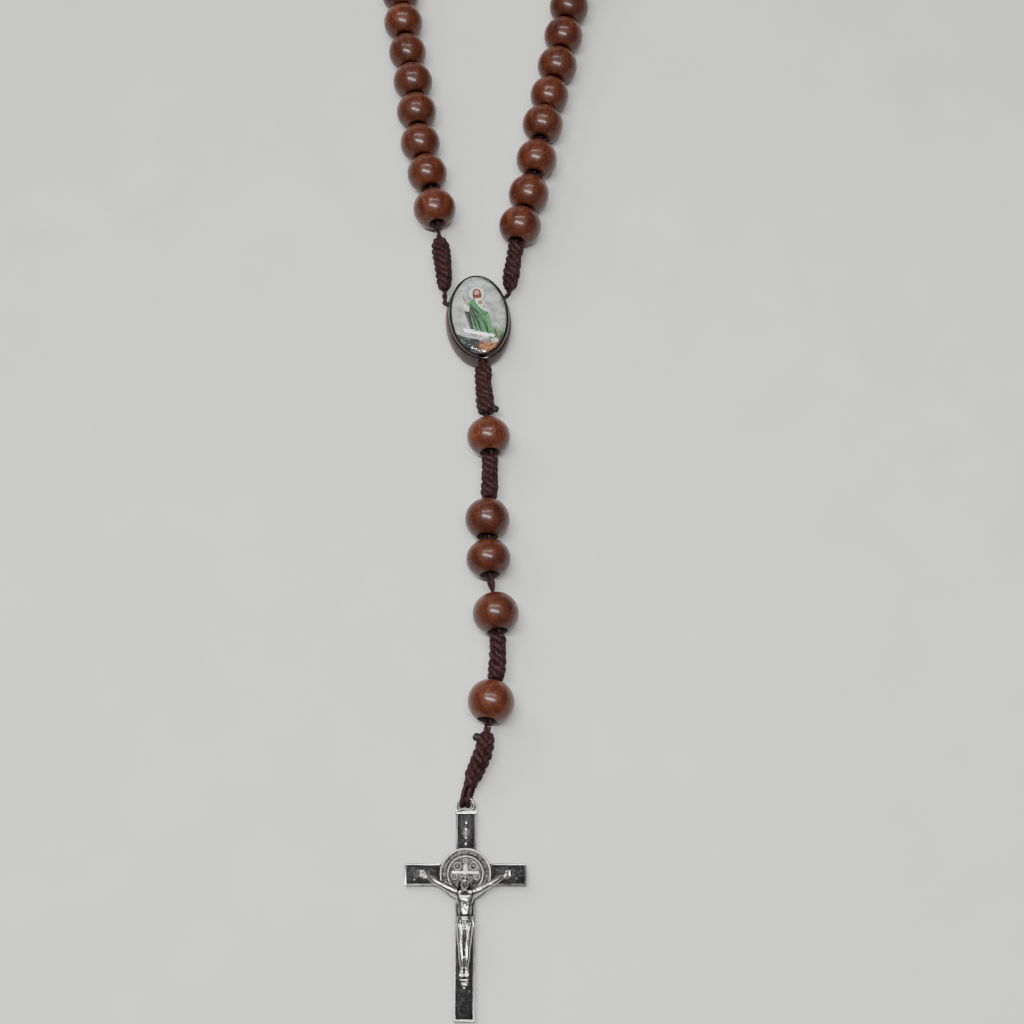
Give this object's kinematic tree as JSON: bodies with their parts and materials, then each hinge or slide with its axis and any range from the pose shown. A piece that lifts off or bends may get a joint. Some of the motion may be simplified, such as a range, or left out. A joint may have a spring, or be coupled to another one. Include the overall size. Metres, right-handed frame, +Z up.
{
  "type": "rosary",
  "caption": "Wooden-bead rosary on knotted waxed cord, with an oval picture medal joining the loop to a short pendant that ends in a cast crucifix with a figure.",
  "frame": {"origin": "centre of the flat back of the centre medal, on the table", "axes": "+Z up from the table, +Y from the medal towards the loop of beads, +X to the right as the medal is read"},
  "size_m": [0.1051, 0.3809, 0.0081],
  "materials": {
    "varnished_wood": "reddish-brown stained wood under clear varnish",
    "waxed_cord": "dark maroon-brown waxed twisted thread",
    "brown_plastic": "dark brown moulded plastic, satin sides",
    "printed_card": "printed paper picture",
    "clear_resin": "clear glossy domed resin",
    "silver_cast": "silver-coloured die cast, worn bright on its edges and dark in its hollows",
    "black_enamel": "black enamel, slightly mottled"
  },
  "bodies": {
    "medal": {"medal_body": "brown_plastic", "medal_cord_ends": "waxed_cord", "medal_picture": "printed_card", "medal_dome": "clear_resin"},
    "loop": {"loop_cord_near": "waxed_cord", "knot_left": "waxed_cord", "knot_right": "waxed_cord", "knot_after_decade_one": "waxed_cord", "knot_after_decade_five": "waxed_cord"},
    "loop_far_half": {"loop_cord_far": "waxed_cord", "beads_decade_two": "varnished_wood", "beads_decade_three": "varnished_wood", "beads_decade_four": "varnished_wood", "knot_before_decade_four": "waxed_cord", "knot_after_decade_four": "waxed_cord", "knot_before_decade_three": "waxed_cord", "knot_after_decade_three": "waxed_cord", "knot_before_decade_two": "waxed_cord", "knot_after_decade_two": "waxed_cord"},
    "pendant_top": {"pendant_cord_upper": "waxed_cord", "pendant_knot_one": "waxed_cord", "pendant_knot_two": "waxed_cord"},
    "pendant_middle": {"pendant_cord_middle": "waxed_cord", "pendant_knot_three": "waxed_cord"},
    "pendant_end": {"crucifix_cord": "waxed_cord", "pendant_knot_four": "waxed_cord"},
    "crucifix": {"crucifix_frame": "silver_cast", "crucifix_enamel": "black_enamel", "crucifix_medallion": "silver_cast", "crucifix_figure": "silver_cast"},
    "bead_left_01": {"bead_left_01": "varnished_wood"},
    "bead_left_02": {"bead_left_02": "varnished_wood"},
    "bead_left_03": {"bead_left_03": "varnished_wood"},
    "bead_left_04": {"bead_left_04": "varnished_wood"},
    "bead_left_05": {"bead_left_05": "varnished_wood"},
    "bead_left_06": {"bead_left_06": "varnished_wood"},
    "bead_left_07": {"bead_left_07": "varnished_wood"},
    "bead_left_08": {"bead_left_08": "varnished_wood"},
    "bead_left_09": {"bead_left_09": "varnished_wood"},
    "bead_left_10": {"bead_left_10": "varnished_wood"},
    "our_father_bead_4": {"our_father_bead_4": "varnished_wood"},
    "our_father_bead_3": {"our_father_bead_3": "varnished_wood"},
    "our_father_bead_2": {"our_father_bead_2": "varnished_wood"},
    "bead_right_01": {"bead_right_01": "varnished_wood"},
    "bead_right_02": {"bead_right_02": "varnished_wood"},
    "bead_right_03": {"bead_right_03": "varnished_wood"},
    "bead_right_04": {"bead_right_04": "varnished_wood"},
    "bead_right_05": {"bead_right_05": "varnished_wood"},
    "bead_right_06": {"bead_right_06": "varnished_wood"},
    "bead_right_07": {"bead_right_07": "varnished_wood"},
    "bead_right_08": {"bead_right_08": "varnished_wood"},
    "bead_right_09": {"bead_right_09": "varnished_wood"},
    "bead_right_10": {"bead_right_10": "varnished_wood"},
    "our_father_bead_1": {"our_father_bead_1": "varnished_wood"},
    "pendant_bead_1": {"pendant_bead_1": "varnished_wood"},
    "pendant_bead_2": {"pendant_bead_2": "varnished_wood"},
    "pendant_bead_3": {"pendant_bead_3": "varnished_wood"},
    "pendant_bead_4": {"pendant_bead_4": "varnished_wood"},
    "pendant_bead_5": {"pendant_bead_5": "varnished_wood"}
  },
  "joints": [
    {"name": "loop_lift", "type": "hinge", "parent": "medal", "child": "loop", "pos_m": [-0.00065, 0.0047, 0.003], "axis": [0.9874, 0.158, 0], "range_deg": [0, 80]},
    {"name": "loop_fold", "type": "hinge", "parent": "loop", "child": "loop_far_half", "pos_m": [0.00087, 0.10936, 0.004], "axis": [0.9967, -0.081, 0], "range_deg": [0, 80]},
    {"name": "pendant_swing", "type": "hinge", "parent": "medal", "child": "pendant_top", "pos_m": [0.0008, -0.0103, 0.003], "axis": [0, 0, 1], "range_deg": [-35, 35]},
    {"name": "pendant_fold", "type": "hinge", "parent": "pendant_top", "child": "pendant_middle", "pos_m": [0.00265, -0.0564, 0.004], "axis": [-1, 0, 0], "range_deg": [0, 75]},
    {"name": "pendant_end_swing", "type": "hinge", "parent": "pendant_middle", "child": "pendant_end", "pos_m": [0.0021, -0.0823, 0.004], "axis": [0, 0, 1], "range_deg": [-45, 45]},
    {"name": "crucifix_lift", "type": "hinge", "parent": "pendant_end", "child": "crucifix", "pos_m": [-0.00155, -0.09455, 0.00135], "axis": [-1, 0, 0], "range_deg": [0, 80]},
    {"name": "bead_left_01_slide", "type": "slide", "parent": "loop", "child": "bead_left_01", "axis": [-0.1704, 0.9853, 0.0106], "range_m": [-0.002, 0.0015]},
    {"name": "bead_left_02_spin", "type": "hinge", "parent": "loop", "child": "bead_left_02", "pos_m": [-0.01096, 0.0337, 0.004], "axis": [-0.2064, 0.9785, 0], "continuous": true},
    {"name": "bead_left_03_spin", "type": "hinge", "parent": "loop", "child": "bead_left_03", "pos_m": [-0.01255, 0.04124, 0.004], "axis": [-0.1668, 0.986, 0], "continuous": true},
    {"name": "bead_left_04_spin", "type": "hinge", "parent": "loop", "child": "bead_left_04", "pos_m": [-0.01349, 0.04913, 0.004], "axis": [-0.1087, 0.9941, 0], "continuous": true},
    {"name": "bead_left_05_spin", "type": "hinge", "parent": "loop", "child": "bead_left_05", "pos_m": [-0.01445, 0.05692, 0.004], "axis": [-0.1492, 0.9888, 0], "continuous": true},
    {"name": "bead_left_06_spin", "type": "hinge", "parent": "loop", "child": "bead_left_06", "pos_m": [-0.01579, 0.0647, 0.004], "axis": [-0.1594, 0.9872, 0], "continuous": true},
    {"name": "bead_left_07_spin", "type": "hinge", "parent": "loop", "child": "bead_left_07", "pos_m": [-0.01689, 0.07258, 0.004], "axis": [-0.1185, 0.993, 0], "continuous": true},
    {"name": "bead_left_08_spin", "type": "hinge", "parent": "loop", "child": "bead_left_08", "pos_m": [-0.01774, 0.08043, 0.004], "axis": [-0.1145, 0.9934, 0], "continuous": true},
    {"name": "bead_left_09_spin", "type": "hinge", "parent": "loop", "child": "bead_left_09", "pos_m": [-0.01872, 0.08817, 0.004], "axis": [-0.1382, 0.9904, 0], "continuous": true},
    {"name": "bead_left_10_spin", "type": "hinge", "parent": "loop", "child": "bead_left_10", "pos_m": [-0.02001, 0.09576, 0.004], "axis": [-0.1968, 0.9804, 0], "continuous": true},
    {"name": "our_father_bead_4_spin", "type": "hinge", "parent": "loop_far_half", "child": "our_father_bead_4", "pos_m": [-0.0253, 0.11638, 0.004], "axis": [-0.3067, 0.9518, 0], "continuous": true},
    {"name": "our_father_bead_3_spin", "type": "hinge", "parent": "loop_far_half", "child": "our_father_bead_3", "pos_m": [-0.04211, 0.21927, 0.004], "axis": [0.4281, 0.9037, 0], "continuous": true},
    {"name": "our_father_bead_2_spin", "type": "hinge", "parent": "loop_far_half", "child": "our_father_bead_2", "pos_m": [0.04397, 0.21818, 0.004], "axis": [0.4347, -0.9006, 0], "continuous": true},
    {"name": "bead_right_01_spin", "type": "hinge", "parent": "loop", "child": "bead_right_01", "pos_m": [0.00791, 0.02094, 0.00394], "axis": [-0.201, -0.9791, -0.0303], "continuous": true},
    {"name": "bead_right_02_spin", "type": "hinge", "parent": "loop", "child": "bead_right_02", "pos_m": [0.00967, 0.02864, 0.004], "axis": [-0.2146, -0.9767, 0], "continuous": true},
    {"name": "bead_right_03_spin", "type": "hinge", "parent": "loop", "child": "bead_right_03", "pos_m": [0.01132, 0.03718, 0.004], "axis": [-0.1642, -0.9864, 0], "continuous": true},
    {"name": "bead_right_04_spin", "type": "hinge", "parent": "loop", "child": "bead_right_04", "pos_m": [0.01263, 0.04588, 0.004], "axis": [-0.1651, -0.9863, 0], "continuous": true},
    {"name": "bead_right_05_spin", "type": "hinge", "parent": "loop", "child": "bead_right_05", "pos_m": [0.0141, 0.05344, 0.004], "axis": [-0.2113, -0.9774, 0], "continuous": true},
    {"name": "bead_right_06_spin", "type": "hinge", "parent": "loop", "child": "bead_right_06", "pos_m": [0.01581, 0.06105, 0.004], "axis": [-0.1991, -0.98, 0], "continuous": true},
    {"name": "bead_right_07_spin", "type": "hinge", "parent": "loop", "child": "bead_right_07", "pos_m": [0.0172, 0.06903, 0.004], "axis": [-0.1634, -0.9866, 0], "continuous": true},
    {"name": "bead_right_08_spin", "type": "hinge", "parent": "loop", "child": "bead_right_08", "pos_m": [0.01851, 0.07682, 0.004], "axis": [-0.1739, -0.9848, 0], "continuous": true},
    {"name": "bead_right_09_spin", "type": "hinge", "parent": "loop", "child": "bead_right_09", "pos_m": [0.01992, 0.08439, 0.004], "axis": [-0.1903, -0.9817, 0], "continuous": true},
    {"name": "bead_right_10_spin", "type": "hinge", "parent": "loop", "child": "bead_right_10", "pos_m": [0.02146, 0.09183, 0.004], "axis": [-0.2141, -0.9768, 0], "continuous": true},
    {"name": "our_father_bead_1_spin", "type": "hinge", "parent": "loop_far_half", "child": "our_father_bead_1", "pos_m": [0.02706, 0.11237, 0.004], "axis": [-0.3101, -0.9507, 0], "continuous": true},
    {"name": "pendant_bead_1_spin", "type": "hinge", "parent": "pendant_top", "child": "pendant_bead_1", "pos_m": [0.00189, -0.0261, 0.004], "axis": [0.0712, -0.9975, 0], "continuous": true},
    {"name": "pendant_bead_2_spin", "type": "hinge", "parent": "pendant_top", "child": "pendant_bead_2", "pos_m": [0.00178, -0.04308, 0.004], "axis": [-0.0232, -0.9997, 0], "continuous": true},
    {"name": "pendant_bead_3_spin", "type": "hinge", "parent": "pendant_top", "child": "pendant_bead_3", "pos_m": [0.00201, -0.05093, 0.004], "axis": [0.0734, -0.9973, 0], "continuous": true},
    {"name": "pendant_bead_4_spin", "type": "hinge", "parent": "pendant_middle", "child": "pendant_bead_4", "pos_m": [0.0034, -0.06155, 0.004], "axis": [0.1101, -0.9939, 0], "continuous": true},
    {"name": "pendant_bead_5_spin", "type": "hinge", "parent": "pendant_middle", "child": "pendant_bead_5", "pos_m": [0.00262, -0.07794, 0.004], "axis": [-0.1883, -0.9821, 0], "continuous": true}
  ]
}
